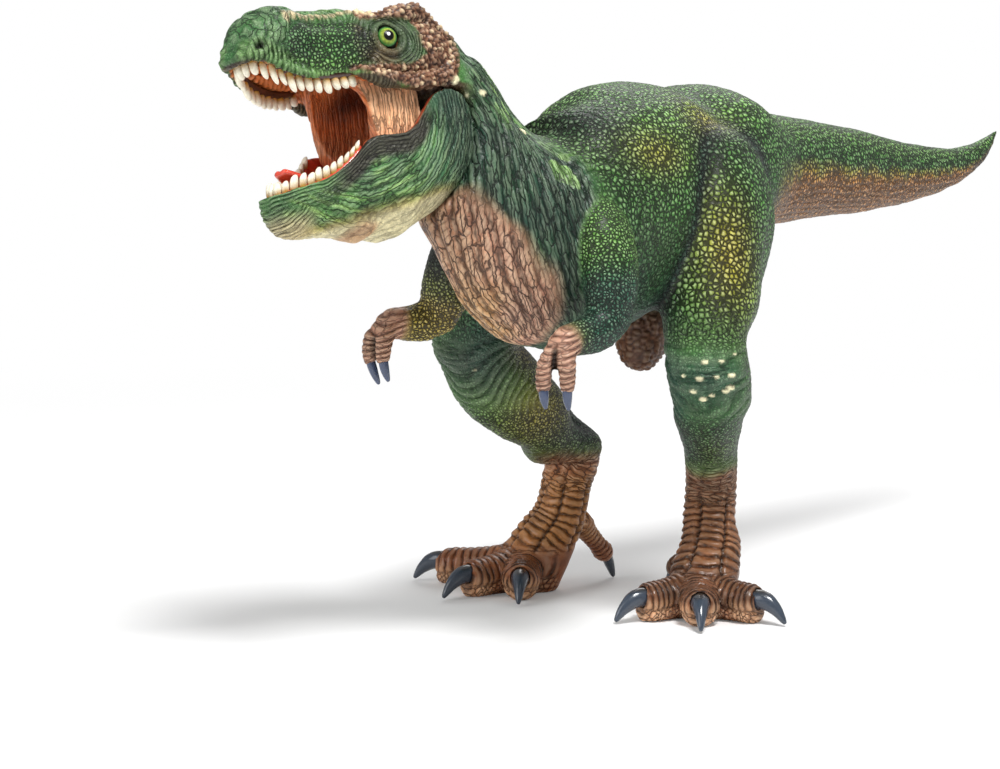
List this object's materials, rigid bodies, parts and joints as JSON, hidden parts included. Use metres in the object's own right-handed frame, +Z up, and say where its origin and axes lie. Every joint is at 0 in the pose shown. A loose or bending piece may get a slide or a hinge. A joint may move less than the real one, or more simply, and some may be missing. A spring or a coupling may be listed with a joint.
{
  "type": "toy dinosaur figure",
  "caption": "Standing two-legged meat-eating dinosaur figure with an opening lower jaw, small clawed arms and a long tail.",
  "frame": {"origin": "bottom centre of the bounding box, on the surface the figure stands on", "axes": "+Z up, the figure faces -Y with its tail along +Y, its left side at +X"},
  "size_m": [0.1, 0.2708, 0.1353],
  "materials": {
    "body_skin": "hand-painted green scales over a dark wash, tan belly",
    "head_skin": "hand-painted green pebbled skin, beige nodules over the eye",
    "limb_skin": "green scales fading to brown plated feet",
    "mouth_skin": "painted flesh tones, dark throat",
    "tooth_ivory": "satin ivory, yellowish at the roots",
    "tongue_gloss": "satin red",
    "claw_gloss": "glossy slate grey",
    "eye_gloss": "glossy yellow-green with a black pupil",
    "pin_steel": "bare drawn wire"
  },
  "bodies": {
    "figure": {"torso": "body_skin", "tail": "body_skin", "head": "head_skin", "mouth_lining": "mouth_skin", "upper_teeth": "tooth_ivory", "left_eye": "eye_gloss", "right_eye": "eye_gloss", "jaw_pin": "pin_steel", "left_leg": "limb_skin", "right_leg": "limb_skin", "left_arm": "limb_skin", "right_arm": "limb_skin", "left_foot_claw_inner": "claw_gloss", "left_foot_claw_middle": "claw_gloss", "left_foot_claw_outer": "claw_gloss", "left_foot_claw_back": "claw_gloss", "right_foot_claw_inner": "claw_gloss", "right_foot_claw_middle": "claw_gloss", "right_foot_claw_outer": "claw_gloss", "right_foot_claw_back": "claw_gloss", "left_hand_claw_1": "claw_gloss", "left_hand_claw_2": "claw_gloss", "right_hand_claw_1": "claw_gloss", "right_hand_claw_2": "claw_gloss"},
    "jaw": {"lower_jaw": "head_skin", "lower_teeth": "tooth_ivory", "tongue": "tongue_gloss"}
  },
  "joints": [
    {"name": "jaw_hinge", "type": "hinge", "parent": "figure", "child": "jaw", "pos_m": [-0.0093, -0.09407, 0.1099], "axis": [-0.9174, 0.3159, -0.2419], "range_deg": [0, 26]}
  ]
}
